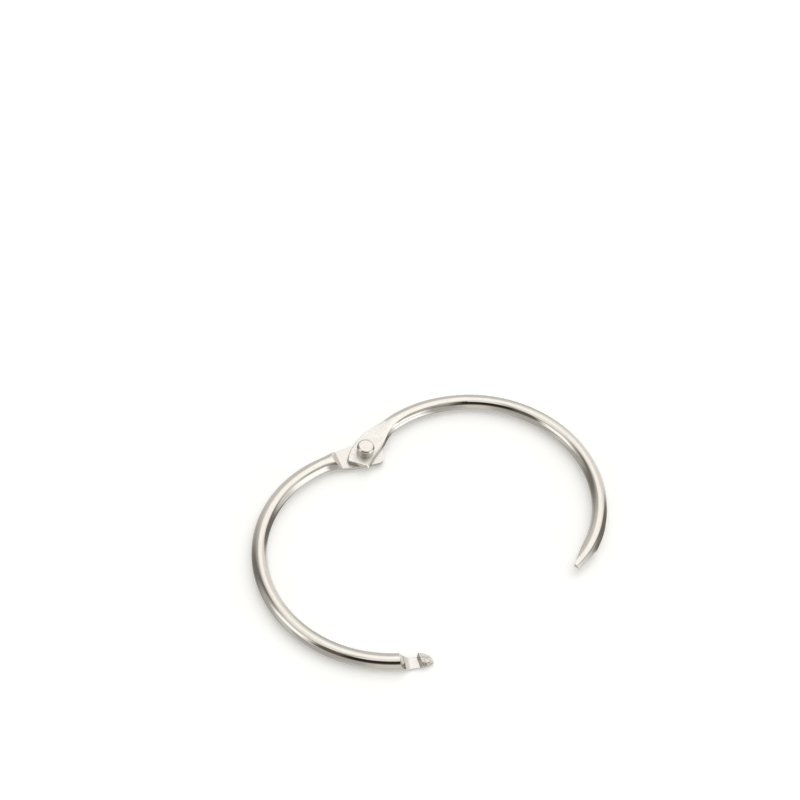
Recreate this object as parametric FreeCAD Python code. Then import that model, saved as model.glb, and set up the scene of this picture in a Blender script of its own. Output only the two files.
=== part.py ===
import FreeCAD, Part
import math
import os

# Loose-leaf binder ring: two bent wire arms riveted together at one end, so that they
# swing open in the plane of the ring.  The free end of one is a scooped neck with a small
# roofed nose, the free end of the other is a hollowed beak that closes over it.
#
# Frame: millimetres, +Z up and square to the ring, origin at the centre of the hook arm's
# arc on the middle plane of the wire.  The rivet stands on -X and the latch on +X.
# Both arms are laid out counter-clockwise from the rivet; the socket arm is then mirrored
# to the other side of the ring and turned open about the rivet.

# Wire and arcs
ring_radius = 26.85        # centre line of both arms
wire_diameter = 3.5
hinge_outset = 0.4         # rivet axis outside the centre line
rest_swing = 57.0          # socket arm turned open from lying concentric with the hook arm

# Flat hinge plate of the hook arm, lengths measured along the wire from the rivet.
# Rows: length, share pressed flat, width added inside and outside the wire
hook_plate = (
    (-4.0, 1.0, -0.25, 0.00),
    (-3.8, 1.0, 0.05, 0.25),
    (-3.4, 1.0, 0.32, 0.46),
    (-2.6, 1.0, 0.62, 0.70),
    (-1.0, 1.0, 0.95, 1.00),
    (1.0, 1.0, 1.15, 1.20),
    (3.0, 1.0, 1.15, 1.15),
    (5.0, 0.95, 0.90, 0.85),
    (7.0, 0.60, 0.42, 0.40),
    (8.6, 0.20, 0.12, 0.10),
    (10.0, 0.0, 0.0, 0.0),
    (10.8, 0.0, 0.0, 0.0),
)
hook_plate_underside = 1.45    # underside of the pressed plate below the middle plane
hook_step = 6.1                # foot of the step up to the full wire
hook_step_run = 1.6            # length over which the step climbs to the crest

# Flat hinge paddle of the socket arm, laid out the same way
paddle = (
    (-3.7, 1.0, -0.15, 1.15),
    (-3.5, 1.0, 0.00, 1.44),
    (-3.1, 1.0, 0.12, 1.63),
    (-2.0, 1.0, 0.30, 1.80),
    (0.0, 1.0, 0.45, 1.85),
    (2.5, 1.0, 0.55, 1.70),
    (4.8, 1.0, 0.40, 1.30),
    (6.8, 0.85, -0.05, 0.85),
    (8.8, 0.50, -0.40, 0.50),
    (11.0, 0.20, -0.42, 0.42),
    (13.5, 0.0, -0.36, 0.36),
    (17.0, 0.0, -0.24, 0.24),
    (21.0, 0.0, -0.10, 0.10),
    (25.0, 0.0, -0.01, 0.01),
    (28.0, 0.0, 0.0, 0.0),
    (29.0, 0.0, 0.0, 0.0),
)
paddle_thickness = 0.95
paddle_keel = 0.9              # underside of the pressed wire above the shoulder, below the middle plane
paddle_gap = 0.05              # air between the flat faces of the two arms
paddle_shoulder = 8.0          # full wire starts again below the paddle

# Pressed section: flat faces with slightly bulged edges
pressed_inset = 0.30           # flat stops this far short of the edge
pressed_bulge_height = 0.35    # widest line above or below the middle plane

# Rivet
rivet_head_diameter = 3.92
rivet_head_height = 2.05
rivet_head_round = 0.6
rivet_head_gap = 0.05          # air between the head and the paddle
rivet_shank_diameter = 2.0
rivet_running_gap = 0.05       # radial, between the shank and the paddle
rivet_foot_diameter = 3.0
rivet_foot_height = 0.3

# Latch end of the hook arm, lengths measured from the point opposite the rivet
hook_ease = 8.0                # the last of the wire is bent a little more open
hook_ease_radius = 31.0
scoop_radius = 2.9
scoop_centre = 1.75            # the scoop runs out into the flat neck here
neck_drop = 1.15               # flat of the neck below the middle plane
nose_back = 3.0                # back face of the nose
nose_back_skew = 7.0           # back face turned in plan
nose_back_lean = 20.0          # back face leaning forward
nose_end = 6.0
nose_inner_corner = 2.2        # rounded inner corner of the nose in plan
nose_tip_inset = 0.9           # outer side of the nose at its end, inside the wire's
nose_outer_taper = 13.0        # outer side running in to the tip
nose_ridge_offset = 0.75       # ridge outside the centre line
nose_ridge_height = 0.3        # ridge above the middle plane at the back of the nose
nose_ridge_fall = 15.0         # ridge dipping towards the tip
nose_inner_slope = 10.0
nose_outer_slope = 32.0

# Latch end of the socket arm, lengths measured from the point opposite the rivet
beak_end = 8.1
beak_undercut = 16.0           # end face leaning back below the tip
beak_wall = 1.3                # full wire ends here on the underside
beak_roof_gap = 0.25           # air between the roof of the hollow and the nose ridge
beak_facet_offset = 1.25       # upper edge of the outer facet outside the centre line
beak_facet_slope = 71.0
beak_facet_shift = 1.05        # cutter off centre, so the facet deepens towards the tip
beak_inner_flat = 1.20         # inner flat at the tip, inside the centre line

wire_radius = wire_diameter / 2
hinge_radius = ring_radius + hinge_outset
paddle_top = paddle_gap + paddle_thickness
bulk = 8 * wire_diameter       # larger than any feature being cut
up = FreeCAD.Vector(0, 0, 1)
along = FreeCAD.Vector(0, 1, 0)
outward = FreeCAD.Vector(1, 0, 0)
centre = FreeCAD.Vector(0, 0, 0)
hinge = FreeCAD.Vector(-hinge_radius, 0, 0)
latch = FreeCAD.Vector(ring_radius, 0, 0)


def arc_degrees(length):
    """Angle taken up by a length of wire."""
    return math.degrees(length / ring_radius)


def mix(round_value, pressed_value, share):
    """Value part of the way from the round wire to the pressed plate."""
    return round_value + (pressed_value - round_value) * share


def curve(points):
    """Edge through three points given as (distance outward, height)."""
    a, b, c = [FreeCAD.Vector(ring_radius + out, 0, z) for out, z in points]
    if (b - a).cross(c - b).Length < 1e-6:
        return Part.makeLine(a, c)
    return Part.Arc(a, b, c).toShape()


def section(length, share, inner, outer, top, bottom, widest):
    """Closed outline across the wire at a length from the rivet.

    A top of None stays round.
    """
    chord = wire_radius / 2
    rise = math.sqrt(wire_radius ** 2 - chord ** 2)
    inset = mix(wire_radius - chord, pressed_inset, share)
    top_share = 0 if top is None else share
    top = wire_radius if top is None else top
    top_inset = mix(wire_radius - chord, pressed_inset, top_share)
    left = -(wire_radius + inner)
    right = wire_radius + outer
    crown = mix(wire_radius, top, top_share)
    crown_corner = mix(rise, top, top_share)
    keel = mix(-wire_radius, bottom, share)
    keel_corner = mix(-rise, bottom, share)
    middle = (left + right) / 2
    level = mix(0, widest, share)
    corners = (
        (left + top_inset, crown_corner),
        (right - top_inset, crown_corner),
        (right - inset, keel_corner),
        (left + inset, keel_corner),
    )
    between = ((middle, crown), (right, level), (middle, keel), (left, level))
    edges = []
    for index, point in enumerate(between):
        edges.append(curve((corners[index], point, corners[(index + 1) % 4])))
    outline = Part.Wire(edges)
    outline.rotate(centre, up, 180 + arc_degrees(length))
    return outline


def wire_disc(angle):
    """Round face across the wire at a polar angle."""
    ring = Part.Circle(latch, along, wire_radius)
    disc = Part.Face(Part.Wire([ring.toShape()]))
    disc.rotate(centre, up, angle)
    return disc


def arm_blank(rows, top, bottom, widest, last):
    """Wire with one end pressed flat, bent on round to a polar angle."""
    outlines = [section(*row, top, bottom, widest) for row in rows]
    plate = Part.makeLoft(outlines, True, False)
    first = 180 + arc_degrees(rows[-1][0])
    disc = wire_disc(first)
    return plate.fuse(disc.revolve(centre, up, last - first))


def block(low, high):
    """Box between two corners."""
    size = [b - a for a, b in zip(low, high)]
    return Part.makeBox(*size, FreeCAD.Vector(*low))


def profile_cutter(points, angle):
    """Outline in (along, height) at a polar angle, carried across the wire both ways."""
    corners = [FreeCAD.Vector(ring_radius - bulk / 2, y, z) for y, z in points]
    face = Part.Face(Part.makePolygon(corners + corners[:1]))
    solid = face.extrude(outward * bulk)
    solid.rotate(centre, up, angle)
    return solid


def scoop():
    """Cutter for the neck: a round run-out, then flat up to the back of the nose."""
    floor = -neck_drop
    axis_height = floor + scoop_radius
    start = FreeCAD.Vector(ring_radius - bulk, scoop_centre, axis_height)
    cutter = Part.makeCylinder(scoop_radius, 2 * bulk, start, outward)
    above = scoop_centre - scoop_radius
    cutter = cutter.fuse([
        block((ring_radius - bulk, above, axis_height), (ring_radius + bulk, bulk, bulk)),
        block((ring_radius - bulk, scoop_centre, floor), (ring_radius + bulk, bulk, bulk)),
    ])
    behind = block((-bulk, -bulk, -bulk), (bulk, 0, bulk))
    behind.rotate(centre, outward, -nose_back_lean)
    behind.rotate(centre, up, nose_back_skew)
    behind.translate(FreeCAD.Vector(ring_radius, nose_back, floor))
    return cutter.common(behind)


def nose_roof():
    """Everything above the two sloping faces of the nose, which meet in a ridge."""
    inner = math.tan(math.radians(nose_inner_slope)) * bulk
    outer = math.tan(math.radians(nose_outer_slope)) * bulk
    outline = ((0, 0), (bulk, -outer), (bulk, bulk), (-bulk, bulk), (-bulk, -inner))
    corners = [FreeCAD.Vector(out, 0, z) for out, z in outline]
    face = Part.Face(Part.makePolygon(corners + corners[:1]))
    roof = face.extrude(along * bulk)
    roof.translate(FreeCAD.Vector(0, -nose_back + scoop_centre, 0))
    roof.rotate(centre, outward, -nose_ridge_fall)
    ridge = FreeCAD.Vector(ring_radius + nose_ridge_offset, nose_back, nose_ridge_height)
    roof.translate(ridge)
    keep = block((ring_radius - bulk, scoop_centre, -bulk), (ring_radius + bulk, bulk, bulk))
    return roof.common(keep)


def eased_centre():
    """Centre of the more open bend at the end of the hook arm."""
    start = FreeCAD.Rotation(up, -arc_degrees(hook_ease))
    return start.multVec(FreeCAD.Vector(ring_radius - hook_ease_radius, 0, 0))


def eased_turn():
    """Angle of the more open bend, out to the end of the nose."""
    return math.degrees((hook_ease + nose_end) / hook_ease_radius)


def at_nose_end(cutter):
    """Carry a cutter, laid out where the plain arc ends, to the end of the nose."""
    cutter.rotate(centre, up, -arc_degrees(hook_ease))
    cutter.rotate(eased_centre(), up, eased_turn())
    return cutter


def nose_rounding():
    """Material outside the rounded inner corner at the end of the nose."""
    edge = ring_radius - wire_radius
    radius = nose_inner_corner
    post = FreeCAD.Vector(edge + radius, -radius, -bulk)
    corner = block((edge - radius, -radius, -bulk), (edge + radius, radius, bulk))
    return at_nose_end(corner.cut(Part.makeCylinder(radius, 2 * bulk, post)))


def nose_flat():
    """Everything outside the flat that narrows the nose to its tip."""
    flat = block((0, -bulk, -bulk), (bulk, bulk, bulk))
    flat.rotate(centre, up, nose_outer_taper)
    flat.translate(FreeCAD.Vector(ring_radius + wire_radius - nose_tip_inset, 0, 0))
    return at_nose_end(flat)


def hook_arm():
    """Lower hinge plate, bent wire, scooped neck and roofed nose."""
    ease = -arc_degrees(hook_ease)
    arm = arm_blank(hook_plate, None, -hook_plate_underside, -pressed_bulge_height, 360 + ease)
    arm = arm.fuse(wire_disc(ease).revolve(eased_centre(), up, eased_turn()))
    slope = hook_step_run / wire_radius
    step = ((0, 0), (slope * bulk, bulk), (-bulk, bulk), (-bulk, 0))
    arm = arm.cut(profile_cutter(step, 180 + arc_degrees(hook_step)))
    arm = arm.cut(Part.makeCylinder(rivet_shank_diameter / 2, 2 * bulk, hinge - up * bulk))
    for cutter in (scoop(), nose_roof(), nose_rounding(), nose_flat()):
        arm = arm.cut(cutter)
    return arm


def beak_hollow():
    """Hollow on the underside of the beak, roofed to follow the nose of the hook arm."""
    inner = math.tan(math.radians(nose_inner_slope)) * bulk
    outer = math.tan(math.radians(nose_outer_slope)) * bulk
    outline = ((0, 0), (bulk, -outer), (bulk, -2 * bulk), (-bulk, -2 * bulk), (-bulk, -inner))
    corners = [FreeCAD.Vector(out, beak_wall, z) for out, z in outline]
    face = Part.Face(Part.makePolygon(corners + corners[:1]))
    hollow = face.extrude(along * bulk)
    height = nose_ridge_height + beak_roof_gap
    hollow.translate(FreeCAD.Vector(ring_radius + nose_ridge_offset, 0, height))
    return hollow


def beak_facet():
    """Ring-shaped cutter, set off centre, that flattens the outer side of the beak."""
    crest = math.sqrt(wire_radius ** 2 - beak_facet_offset ** 2)
    inner_foot = beak_facet_offset + (crest + bulk) / math.tan(math.radians(beak_facet_slope))
    inner_head = beak_facet_offset + (crest - bulk) / math.tan(math.radians(beak_facet_slope))
    outline = ((inner_head, bulk), (inner_foot, -bulk), (bulk, -bulk), (bulk, bulk))
    corners = [FreeCAD.Vector(ring_radius + out, 0, z) for out, z in outline]
    face = Part.Face(Part.makePolygon(corners + corners[:1]))
    face.rotate(centre, up, -arc_degrees(bulk) / 2)
    cutter = face.revolve(centre, up, arc_degrees(bulk))
    cutter.translate(along * -beak_facet_shift)
    return cutter


def beak_flat():
    """Everything inside the flat that runs out tangentially into the round wire."""
    inner_radius = ring_radius - wire_radius
    tip_out = ring_radius - beak_inner_flat
    run = math.sqrt(tip_out ** 2 + beak_end ** 2 - inner_radius ** 2)
    tilt = math.degrees(math.atan2(run, inner_radius) - math.atan2(beak_end, tip_out))
    flat = block((-bulk, -run, -bulk), (0, bulk, bulk))
    flat.rotate(centre, up, -tilt)
    flat.translate(FreeCAD.Vector(tip_out, beak_end, 0))
    return flat


def socket_arm():
    """Upper hinge paddle, bent wire and hollowed beak."""
    last = 360 + arc_degrees(beak_end)
    arm = arm_blank(paddle, paddle_top, -paddle_keel, pressed_bulge_height, last)
    notch = ((0, -bulk), (0, paddle_gap), (-bulk, paddle_gap), (-bulk, -bulk))
    arm = arm.cut(profile_cutter(notch, 180 + arc_degrees(paddle_shoulder)))
    bore = rivet_shank_diameter / 2 + rivet_running_gap
    arm = arm.cut(Part.makeCylinder(bore, 2 * bulk, hinge - up * bulk))
    arm = arm.cut(beak_hollow())
    arm = arm.cut(beak_facet())
    arm = arm.cut(beak_flat())
    tip = block((-bulk, 0, -bulk), (bulk, bulk, bulk))
    tip.rotate(centre, outward, -beak_undercut)
    tip.translate(FreeCAD.Vector(ring_radius, 0, wire_radius))
    tip.rotate(centre, up, arc_degrees(beak_end))
    arm = arm.cut(tip)
    arm = arm.mirror(centre, along)
    arm.rotate(hinge, up, rest_swing)
    return arm


def hinge_rivet():
    """Headed rivet, spread flat below the hook arm's plate."""
    seat = paddle_top + rivet_head_gap
    head = Part.makeCylinder(rivet_head_diameter / 2, rivet_head_height, hinge + up * seat)
    rim = [edge for edge in head.Edges if edge.BoundBox.ZMin > seat + rivet_head_height / 2]
    head = head.makeFillet(rivet_head_round, rim)
    foot_level = -hook_plate_underside - rivet_foot_height
    foot = Part.makeCylinder(rivet_foot_diameter / 2, rivet_foot_height, hinge + up * foot_level)
    shank = Part.makeCylinder(rivet_shank_diameter / 2, seat - foot_level, hinge + up * foot_level)
    return head.fuse([shank, foot]).removeSplitter()


os.makedirs("parts", exist_ok=True)
nodes = {"hook_arm": hook_arm(), "socket_arm": socket_arm(), "hinge_rivet": hinge_rivet()}
for name, shape in nodes.items():
    shape.exportStep("parts/" + name + ".step")
    print(name, shape.isValid(), len(shape.Solids), round(shape.Volume, 2))
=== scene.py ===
"""A hinged loose-leaf binder ring of nickel-plated wire, dressed for a studio picture.

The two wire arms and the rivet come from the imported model.  This file plates them, lays them on
a pale floor and lights them with large soft panels, whose reflections draw the long bands that
bright round wire shows.
"""
import logging
import math
from dataclasses import dataclass, field
from enum import Enum
from typing import Any

import bpy
from mathutils import Matrix, Vector


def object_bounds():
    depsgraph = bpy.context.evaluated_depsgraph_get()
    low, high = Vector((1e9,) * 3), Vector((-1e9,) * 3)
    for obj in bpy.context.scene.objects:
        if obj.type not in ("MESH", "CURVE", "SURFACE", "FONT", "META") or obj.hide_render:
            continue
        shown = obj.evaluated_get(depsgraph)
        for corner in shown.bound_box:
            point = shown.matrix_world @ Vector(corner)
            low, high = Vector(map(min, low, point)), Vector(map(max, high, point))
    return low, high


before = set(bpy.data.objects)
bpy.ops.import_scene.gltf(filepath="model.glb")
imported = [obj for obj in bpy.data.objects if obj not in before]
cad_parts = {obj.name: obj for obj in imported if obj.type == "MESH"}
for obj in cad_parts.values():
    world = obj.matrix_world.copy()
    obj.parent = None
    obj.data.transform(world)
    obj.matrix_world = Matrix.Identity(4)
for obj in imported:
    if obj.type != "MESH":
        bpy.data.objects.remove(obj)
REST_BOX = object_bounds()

log = logging.getLogger("binder_ring")

MM = 0.001
ARC_RADIUS_MM = 26.85                   # centre line of both arms
SOCKET_ARM_CENTRE_MM = (-12.41, 22.85)  # middle of the socket arm's bend
CAMERA_AZIMUTH = 75.7395                # degrees round from looking along +Y


class Grain(Enum):
    """Which way the fine marks of a finish run."""

    DRAWN = "drawn"
    PRESSED = "pressed"


def linear(colour: str) -> tuple[float, float, float, float]:
    """Turn an sRGB hex colour into linear light.

    Args:
        colour: six hex digits, such as "f2efe6".

    Returns:
        Red, green, blue and an alpha of one.
    """
    channels = [int(colour[i:i + 2], 16) / 255 for i in (0, 2, 4)]
    lit = [c / 12.92 if c <= 0.04045 else ((c + 0.055) / 1.055) ** 2.4 for c in channels]
    return (*lit, 1.0)


def add(tree: bpy.types.NodeTree, kind: str, settings: dict[str, Any] | None = None,
        **sockets: Any) -> bpy.types.Node:
    """Add one shader node with its settings, values and links.

    Args:
        tree: the node tree it goes into.
        kind: the node's type, such as "ShaderNodeMath".
        settings: properties of the node itself.
        sockets: input by name, with underscores for spaces or "i0" for a place in the list.
            An output socket is linked, anything else is a value.

    Returns:
        The new node.
    """
    node = tree.nodes.new(kind)
    for name, value in (settings or {}).items():
        setattr(node, name, value)
    for name, value in sockets.items():
        if name[0] == "i" and name[1:].isdigit():
            socket = node.inputs[int(name[1:])]
        else:
            socket = node.inputs[name.replace("_", " ")]
        if isinstance(value, bpy.types.NodeSocket):
            tree.links.new(value, socket)
        else:
            socket.default_value = value
    return node


@dataclass(frozen=True)
class PressedZone:
    """Ball round a point of the wire's middle plane, worked by a press tool.

    Upward faces inside it are squashed flat and satin, and painted lighter as a painted sheen
    of the light from above.  Every face inside it is dented.
    """

    x_mm: float
    y_mm: float
    reach_mm: float
    fade_mm: float
    dent_mm: float              # depth of the dents left by the tool


HINGE_ZONE = PressedZone(x_mm=-27.25, y_mm=0.0, reach_mm=15.0, fade_mm=6.0, dent_mm=0.004)
NECK_ZONE = PressedZone(x_mm=26.6, y_mm=2.0, reach_mm=5.5, fade_mm=2.0, dent_mm=0.004)
NOSE_ZONE = PressedZone(x_mm=26.2, y_mm=4.8, reach_mm=2.6, fade_mm=1.2, dent_mm=0.30)


@dataclass(frozen=True)
class Marks:
    """Patterns that a finish is mixed from, each an output of its node tree."""

    lines: bpy.types.NodeSocket     # height of the drawing lines
    clouds: bpy.types.NodeSocket    # soft patches in the plate
    nick: bpy.types.NodeSocket      # how far a spot is nicked
    grain: bpy.types.NodeSocket     # fine mottle of the pressed flats
    flat: bpy.types.NodeSocket      # share of satin, which also places the painted sheen
    dents: bpy.types.NodeSocket     # height of the press tool's dents


@dataclass(frozen=True)
class NickelPlate:
    """Bright nickel plate on drawn mild-steel wire.

    Nickel is a warm, slightly yellow grey-white metal.  The plating bath levels the steel but
    leaves the drawing lines of the wire, so reflections run in long bands with faintly frayed
    edges, and the pressed faces keep a soft orange-peel mottle.  Their colours are painted
    lighter than the wire's, a painted sheen of the light from above.
    """

    name: str
    grain: Grain
    centre_mm: tuple[float, float] = (0.0, 0.0)         # middle of the bend the lines follow
    bright: str = "d8d4ce"
    dull: str = "cfcac2"
    nicked: str = "8f8a80"
    roughness: float = 0.07
    roughness_spread: float = 0.05
    rough_step: tuple[float, float] = (0.1, 0.45)       # clouds times lines, smooth to rough
    line_mm: float = 0.16       # spacing of the drawing lines, drawn coarser than the real 0.02 mm
    line_stretch: float = 60.0  # length of a drawing line over its width
    cloud_mm: float = 1.6       # size of the soft patches in the plate
    pit_mm: float = 0.30        # size of the small nicks from tumbling in the plating barrel
    nick_step: tuple[float, float] = (0.70, 0.80)       # pit noise, no nick to a full one
    nick_strength: float = 0.6
    nick_rough: float = 0.15    # roughness added by a nick
    bump_mm: float = 0.0006
    # painted sheen: the pressed flats' colours are lighter than the wire's, painting in the light
    # from above that they reflect
    pressed: str = "eeebe7"
    pressed_dull: str = "d9d5cf"
    pressed_zones: tuple[PressedZone, ...] = ()
    satin: float = 0.42         # roughness of the flats, left by the faces of the press tool
    satin_spread: float = 0.16
    satin_step: tuple[float, float] = (0.3, 0.7)        # satin grain, smooth to rough
    satin_grain_mm: float = 0.22
    speck_step: tuple[float, float] = (0.40, 0.62)      # satin grain, light to dull
    level_step: tuple[float, float] = (0.975, 0.992)    # upward part of the normal, wire to flat
    dent_size_mm: float = 0.8
    edge_mm: float = 0.09       # plating rounds every sharp edge by about this much
    edge_samples: int = 6

    def build(self) -> bpy.types.Material:
        """Make the material.

        Returns:
            The finished material.
        """
        material = bpy.data.materials.new(self.name)
        material.use_nodes = True
        tree = material.node_tree
        tree.nodes.clear()
        marks = self.marks(tree)
        shader = add(tree, "ShaderNodeBsdfPrincipled", Base_Color=self.tint(tree, marks),
                     Metallic=1.0, Roughness=self.rough(tree, marks),
                     Normal=self.relief(tree, marks))
        add(tree, "ShaderNodeOutputMaterial", Surface=shader.outputs[0])
        return material

    def marks(self, tree: bpy.types.NodeTree) -> Marks:
        """Lay out the patterns of the finish.

        Args:
            tree: the material's node tree.

        Returns:
            The patterns.
        """
        place = add(tree, "ShaderNodeTexCoord").outputs["Object"]
        clouds = add(tree, "ShaderNodeTexNoise", Vector=place, Scale=1 / (self.cloud_mm * MM),
                     Detail=3.0, Roughness=0.6).outputs["Fac"]
        pits = add(tree, "ShaderNodeTexNoise", Vector=place, Scale=1 / (self.pit_mm * MM),
                   Detail=1.0, Roughness=0.5).outputs["Fac"]
        nick = add(tree, "ShaderNodeMapRange", i0=pits, i1=self.nick_step[0],
                   i2=self.nick_step[1], i3=0.0, i4=self.nick_strength).outputs[0]
        grain = add(tree, "ShaderNodeTexNoise", Vector=place,
                    Scale=1 / (self.satin_grain_mm * MM), Detail=3.0, Roughness=0.6).outputs["Fac"]
        flat, dents = self.flats(tree, place)
        return Marks(self.lines(tree, place), clouds, nick, grain, flat, dents)

    def tint(self, tree: bpy.types.NodeTree, marks: Marks) -> bpy.types.NodeSocket:
        """Colour of the wire, its nicks and the pressed flats, which carry a painted sheen.

        Args:
            tree: the material's node tree.
            marks: the patterns of the finish.

        Returns:
            The colour.
        """
        wire = add(tree, "ShaderNodeMix", {"data_type": "RGBA"}, i0=marks.clouds,
                   i6=linear(self.bright), i7=linear(self.dull)).outputs[2]
        wire = add(tree, "ShaderNodeMix", {"data_type": "RGBA"}, i0=marks.nick, i6=wire,
                   i7=linear(self.nicked)).outputs[2]
        speck = add(tree, "ShaderNodeMapRange", i0=marks.grain, i1=self.speck_step[0],
                    i2=self.speck_step[1], i3=0.0, i4=1.0).outputs[0]
        # painted sheen: the flats' colours are lighter than the wire's, mottled by the satin grain
        satin = add(tree, "ShaderNodeMix", {"data_type": "RGBA"}, i0=speck,
                    i6=linear(self.pressed), i7=linear(self.pressed_dull)).outputs[2]
        return add(tree, "ShaderNodeMix", {"data_type": "RGBA"}, i0=marks.flat, i6=wire,
                   i7=satin).outputs[2]

    def rough(self, tree: bpy.types.NodeTree, marks: Marks) -> bpy.types.NodeSocket:
        """Roughness of the wire, its nicks and the pressed flats.

        Args:
            tree: the material's node tree.
            marks: the patterns of the finish.

        Returns:
            The roughness.
        """
        fine = add(tree, "ShaderNodeMath", {"operation": "MULTIPLY"}, i0=marks.clouds,
                   i1=marks.lines).outputs[0]
        wire = add(tree, "ShaderNodeMapRange", i0=fine, i1=self.rough_step[0],
                   i2=self.rough_step[1], i3=self.roughness - self.roughness_spread / 2,
                   i4=self.roughness + self.roughness_spread / 2).outputs[0]
        wire = add(tree, "ShaderNodeMath", {"operation": "MULTIPLY_ADD"}, i0=marks.nick,
                   i1=self.nick_rough, i2=wire).outputs[0]
        satin = add(tree, "ShaderNodeMapRange", i0=marks.grain, i1=self.satin_step[0],
                    i2=self.satin_step[1], i3=self.satin - self.satin_spread / 2,
                    i4=self.satin + self.satin_spread / 2).outputs[0]
        return add(tree, "ShaderNodeMix", {"data_type": "FLOAT"}, i0=marks.flat, i2=wire,
                   i3=satin).outputs[0]

    def relief(self, tree: bpy.types.NodeTree, marks: Marks) -> bpy.types.NodeSocket:
        """Normal of the plated surface, with its lines, nicks, dents and rounded edges.

        Args:
            tree: the material's node tree.
            marks: the patterns of the finish.

        Returns:
            The normal.
        """
        fine = add(tree, "ShaderNodeMath", {"operation": "MULTIPLY_ADD"}, i0=marks.nick,
                   i1=-1.0, i2=marks.lines).outputs[0]
        height = add(tree, "ShaderNodeMath", {"operation": "MULTIPLY_ADD"}, i0=fine,
                     i1=self.bump_mm * MM, i2=marks.dents).outputs[0]
        edge = add(tree, "ShaderNodeBevel", {"samples": self.edge_samples},
                   Radius=self.edge_mm * MM).outputs[0]
        return add(tree, "ShaderNodeBump", Strength=1.0, Distance=1.0, Height=height,
                   Normal=edge).outputs[0]

    def flats(self, tree: bpy.types.NodeTree, place: bpy.types.NodeSocket
              ) -> tuple[bpy.types.NodeSocket, bpy.types.NodeSocket]:
        """Find the pressed flats and the dents round them.

        Args:
            tree: the material's node tree.
            place: coordinates in the row frame.

        Returns:
            The share of satin and painted sheen, which is none on the round wire, and the height
            of the dents.
        """
        face = add(tree, "ShaderNodeNewGeometry").outputs["True Normal"]
        rise = add(tree, "ShaderNodeSeparateXYZ", Vector=face).outputs["Z"]
        level = add(tree, "ShaderNodeMapRange", i0=rise, i1=self.level_step[0],
                    i2=self.level_step[1], i3=0.0, i4=1.0).outputs[0]
        waves = add(tree, "ShaderNodeTexNoise", Vector=place,
                    Scale=1 / (self.dent_size_mm * MM), Detail=2.0).outputs["Fac"]
        share: bpy.types.NodeSocket | float = 0.0
        depth: bpy.types.NodeSocket | float = 0.0
        for zone in self.pressed_zones:
            middle = (zone.x_mm * MM, zone.y_mm * MM, 0.0)
            away = add(tree, "ShaderNodeVectorMath", {"operation": "DISTANCE"}, i0=place,
                       i1=middle).outputs["Value"]
            inside = add(tree, "ShaderNodeMapRange", {"interpolation_type": "SMOOTHSTEP"},
                         i0=away, i1=(zone.reach_mm - zone.fade_mm) * MM,
                         i2=zone.reach_mm * MM, i3=1.0, i4=0.0).outputs[0]
            share = add(tree, "ShaderNodeMath", {"operation": "MAXIMUM"}, i0=share,
                        i1=inside).outputs[0]
            depth = add(tree, "ShaderNodeMath", {"operation": "MULTIPLY_ADD"}, i0=inside,
                        i1=zone.dent_mm * MM, i2=depth).outputs[0]
        satin = add(tree, "ShaderNodeMath", {"operation": "MULTIPLY"}, i0=level,
                    i1=share).outputs[0]
        dents = add(tree, "ShaderNodeMath", {"operation": "MULTIPLY"}, i0=waves,
                    i1=depth).outputs[0]
        return satin, dents

    def lines(self, tree: bpy.types.NodeTree,
              place: bpy.types.NodeSocket) -> bpy.types.NodeSocket:
        """Height of the fine marks, running the way that the grain says.

        Args:
            tree: the material's node tree.
            place: coordinates in the row frame.

        Returns:
            The height, from 0 to 1.
        """
        if self.grain is Grain.DRAWN:
            middle = (self.centre_mm[0] * MM, self.centre_mm[1] * MM, 0.0)
            place = add(tree, "ShaderNodeVectorMath", {"operation": "SUBTRACT"}, i0=place,
                        i1=middle).outputs[0]
            x, y, z = add(tree, "ShaderNodeSeparateXYZ", Vector=place).outputs
            flat = add(tree, "ShaderNodeCombineXYZ", X=x, Y=y).outputs[0]
            radius = add(tree, "ShaderNodeVectorMath", {"operation": "LENGTH"},
                         i0=flat).outputs["Value"]
            angle = add(tree, "ShaderNodeMath", {"operation": "ARCTAN2"}, i0=y, i1=x).outputs[0]
            slow = add(tree, "ShaderNodeMath", {"operation": "MULTIPLY"}, i0=angle,
                       i1=ARC_RADIUS_MM * MM / self.line_stretch).outputs[0]
            place = add(tree, "ShaderNodeCombineXYZ", X=radius, Y=z, Z=slow).outputs[0]
        return add(tree, "ShaderNodeTexNoise", Vector=place, Scale=1 / (self.line_mm * MM),
                   Detail=2.0, Roughness=0.5).outputs["Fac"]


@dataclass(frozen=True)
class MattFloor:
    """Matt white laminate sweep, which gives the picture its plain white ground."""

    name: str = "floor_white"
    colour: str = "ffffff"
    dull: str = "fdfdfb"
    mottle_mm: float = 3.0
    roughness: float = 0.9
    glow: float = 0.22          # light of its own, which keeps the ground white round the ring

    def build(self) -> bpy.types.Material:
        """Make the material.

        Returns:
            The finished material.
        """
        material = bpy.data.materials.new(self.name)
        material.use_nodes = True
        tree = material.node_tree
        tree.nodes.clear()
        place = add(tree, "ShaderNodeTexCoord").outputs["Object"]
        mottle = add(tree, "ShaderNodeTexNoise", Vector=place, Scale=1 / (self.mottle_mm * MM),
                     Detail=2.0).outputs["Fac"]
        tint = add(tree, "ShaderNodeMix", {"data_type": "RGBA"}, i0=mottle,
                   i6=linear(self.colour), i7=linear(self.dull)).outputs[2]
        shader = add(tree, "ShaderNodeBsdfPrincipled", Base_Color=tint,
                     Roughness=self.roughness, Emission_Color=tint,
                     Emission_Strength=self.glow)
        add(tree, "ShaderNodeOutputMaterial", Surface=shader.outputs[0])
        return material


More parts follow.
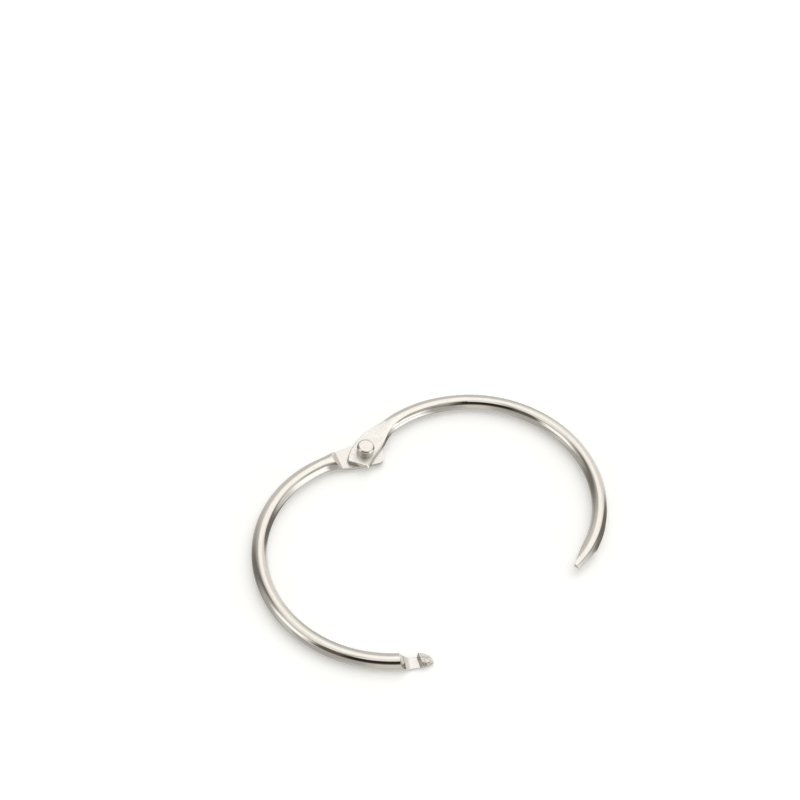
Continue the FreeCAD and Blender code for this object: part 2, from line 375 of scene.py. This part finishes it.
@dataclass
class BinderRing:
    """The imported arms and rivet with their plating."""

    finishes: dict[str, NickelPlate] = field(default_factory=lambda: {
        "hook_arm": NickelPlate("hook_arm_nickel", Grain.DRAWN,
                                pressed_zones=(HINGE_ZONE, NECK_ZONE, NOSE_ZONE)),
        "socket_arm": NickelPlate("socket_arm_nickel", Grain.DRAWN,
                                  centre_mm=SOCKET_ARM_CENTRE_MM,
                                  pressed_zones=(HINGE_ZONE,)),
        "hinge_rivet": NickelPlate("rivet_nickel", Grain.PRESSED, line_mm=0.5,
                                   roughness=0.12),
    })

    def dress(self) -> None:
        """Plate every node of the ring."""
        for name, finish in self.finishes.items():
            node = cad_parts[name]
            node.data.materials.clear()
            node.data.materials.append(finish.build())
            log.info("%s: %d faces, %s", name, len(node.data.polygons), finish.name)


@dataclass(frozen=True)
class SoftPanel:
    """One soft-edged light or dark panel of the studio, far from the ring.

    Bearings run round from the camera's side, heights from the level of the table, in degrees.
    """

    name: str
    bearing: float
    half_width: float
    side_fade: float
    low: float
    high: float
    edge_fade: float
    colour: str
    strength: float


@dataclass(frozen=True)
class Sky:
    """The panels round the table, laid over one another in order."""

    ground: tuple[str, float] = ("fffef9", 0.55)        # colour and strength between the panels
    panels: tuple[SoftPanel, ...] = (
        SoftPanel("overhead", 152, 172, 21, 55, 119, 20, "fffffc", 1.15),
        SoftPanel("back", 160, 49, 24, 21, 96, 20, "fffefc", 1.42),
        SoftPanel("back_low", 197, 27, 20, -94, 43, 14, "fffffc", 0.79),
        SoftPanel("back_high", -164, 44, 23, 71, 87, 24, "fffffa", 1.50),
        SoftPanel("left_low", -68, 8, 10, -98, 2, 18, "fffffd", 0.79),
        SoftPanel("left_window", -61, 20, 14, 8, 44, 12, "ffffff", 1.50),
        SoftPanel("camera_side", -8, 40, 16, 14, 60, 12, "fff2e4", 0.16),
        SoftPanel("camera", 2, 24, 12, 26, 56, 10, "ffece0", 0.03),
        SoftPanel("table_front", 6, 36, 20, -117, -40, 24, "fffefb", 0.73),
        SoftPanel("card_front", 10, 12, 16, -47, 12, 14, "fffef5", 0.84),
        SoftPanel("right_window", 71, 22, 14, -48, 36, 14, "fafdff", 1.62),
        SoftPanel("right_frame", 78, 46, 20, 30, 36, 14, "808080", 0.10),
        SoftPanel("right_curtain", 95, 8, 16, -111, 71, 15, "fcfffd", 0.95),
        SoftPanel("right_wall", 147, 16, 20, -93, 40, 20, "fffefc", 1.03),
        SoftPanel("right_high", 121, 38, 20, 55, 126, 12, "fffffb", 1.48),
        SoftPanel("left_corner", -109, 13, 18, -32, 56, 18, "fff8f2", 0.24),
        SoftPanel("right_corner", 119, 12, 12, -50, 30, 14, "fff8f2", 0.22),
    )

    def build(self) -> bpy.types.World:
        """Make the world from the panels.

        Returns:
            The finished world.
        """
        world = bpy.data.worlds.new("studio")
        world.use_nodes = True
        tree = world.node_tree
        tree.nodes.clear()
        way = add(tree, "ShaderNodeTexCoord").outputs["Generated"]
        x, y, z = add(tree, "ShaderNodeSeparateXYZ", Vector=way).outputs
        back = add(tree, "ShaderNodeMath", {"operation": "MULTIPLY"}, i0=y, i1=-1.0).outputs[0]
        bearing = self.degrees(tree, "ARCTAN2", x, back)
        height = self.degrees(tree, "ARCSINE", z)
        colour = self.shade(*self.ground)
        for panel in self.panels:
            off = add(tree, "ShaderNodeMath", {"operation": "SUBTRACT"}, i0=bearing,
                      i1=panel.bearing + CAMERA_AZIMUTH).outputs[0]
            off = add(tree, "ShaderNodeMath", {"operation": "WRAP"}, i0=off, i1=180.0,
                      i2=-180.0).outputs[0]
            off = add(tree, "ShaderNodeMath", {"operation": "ABSOLUTE"}, i0=off).outputs[0]
            cover = self.edge(tree, off, panel.half_width, -panel.side_fade)
            for level, fade in ((panel.low, panel.edge_fade), (panel.high, -panel.edge_fade)):
                cut = self.edge(tree, height, level, fade)
                cover = add(tree, "ShaderNodeMath", {"operation": "MULTIPLY"}, i0=cover,
                            i1=cut).outputs[0]
            colour = add(tree, "ShaderNodeMix", {"data_type": "RGBA"}, i0=cover, i6=colour,
                         i7=self.shade(panel.colour, panel.strength)).outputs[2]
        light = add(tree, "ShaderNodeBackground", Color=colour)
        add(tree, "ShaderNodeOutputWorld", Surface=light.outputs[0])
        return world

    def shade(self, colour: str, strength: float) -> tuple[float, float, float, float]:
        """Light of one panel: its colour times its strength."""
        red, green, blue, alpha = linear(colour)
        return red * strength, green * strength, blue * strength, alpha

    def degrees(self, tree: bpy.types.NodeTree, operation: str,
                *values: bpy.types.NodeSocket) -> bpy.types.NodeSocket:
        """An angle worked out by one operation, in degrees.

        Args:
            tree: the world's node tree.
            operation: the inverse function.
            values: what it takes.

        Returns:
            The angle.
        """
        inputs = {f"i{place}": value for place, value in enumerate(values)}
        angle = add(tree, "ShaderNodeMath", {"operation": operation}, **inputs).outputs[0]
        return add(tree, "ShaderNodeMath", {"operation": "DEGREES"}, i0=angle).outputs[0]

    def edge(self, tree: bpy.types.NodeTree, value: bpy.types.NodeSocket, level: float,
             fade: float) -> bpy.types.NodeSocket:
        """A soft step at a level: rising for a fade above zero, falling for one below.

        Args:
            tree: the world's node tree.
            value: what is compared.
            level: middle of the step.
            fade: width of the step.

        Returns:
            The step, from 0 to 1.
        """
        half = abs(fade) / 2
        start, end = (0.0, 1.0) if fade > 0 else (1.0, 0.0)
        return add(tree, "ShaderNodeMapRange", {"interpolation_type": "SMOOTHSTEP"}, i0=value,
                   i1=level - half, i2=level + half, i3=start, i4=end).outputs[0]


@dataclass
class Studio:
    """Table, sky and camera."""

    floor_reach_m: float = 1.5
    lens_mm: float = 104.96
    sensor_mm: float = 36.0
    clip_near_m: float = 0.01
    clip_far_m: float = 10.0
    camera_mm: tuple[float, float, float] = (277.031, -70.742, 413.328)
    camera_elevation: float = 51.516
    camera_roll: float = 6.328

    def build(self) -> None:
        """Set up everything round the ring."""
        self.floor()
        bpy.context.scene.world = Sky().build()
        self.camera()

    def floor(self) -> None:
        """Lay the table top under the ring.

        It stays out of the metal's reflections, where the low panels of the sky stand in for it.
        """
        reach = self.floor_reach_m
        level = REST_BOX[0][2]
        mesh = bpy.data.meshes.new("floor")
        corners = [(-reach, -reach, level), (reach, -reach, level), (reach, reach, level),
                   (-reach, reach, level)]
        mesh.from_pydata(corners, [], [(0, 1, 2, 3)])
        mesh.materials.append(MattFloor().build())
        floor = bpy.data.objects.new("floor", mesh)
        floor.visible_glossy = False
        bpy.context.scene.collection.objects.link(floor)

    def camera(self) -> None:
        """Stand the camera where it sees the ring three-quarters from above."""
        lens = bpy.data.cameras.new("camera")
        lens.lens = self.lens_mm
        lens.sensor_width = self.sensor_mm
        lens.clip_start = self.clip_near_m
        lens.clip_end = self.clip_far_m
        camera = bpy.data.objects.new("camera", lens)
        turn = (Matrix.Rotation(math.radians(CAMERA_AZIMUTH), 4, "Z")
                @ Matrix.Rotation(math.radians(90 - self.camera_elevation), 4, "X")
                @ Matrix.Rotation(math.radians(self.camera_roll), 4, "Z"))
        camera.matrix_world = Matrix.Translation(Vector(self.camera_mm) * MM) @ turn
        bpy.context.scene.collection.objects.link(camera)
        bpy.context.scene.camera = camera


def main() -> None:
    """Dress the ring and build the studio round it."""
    logging.basicConfig(level=logging.INFO, format="%(name)s: %(message)s")
    bpy.context.scene.view_settings.view_transform = "Standard"
    BinderRing().dress()
    Studio().build()


if __name__ == "__main__":
    main()
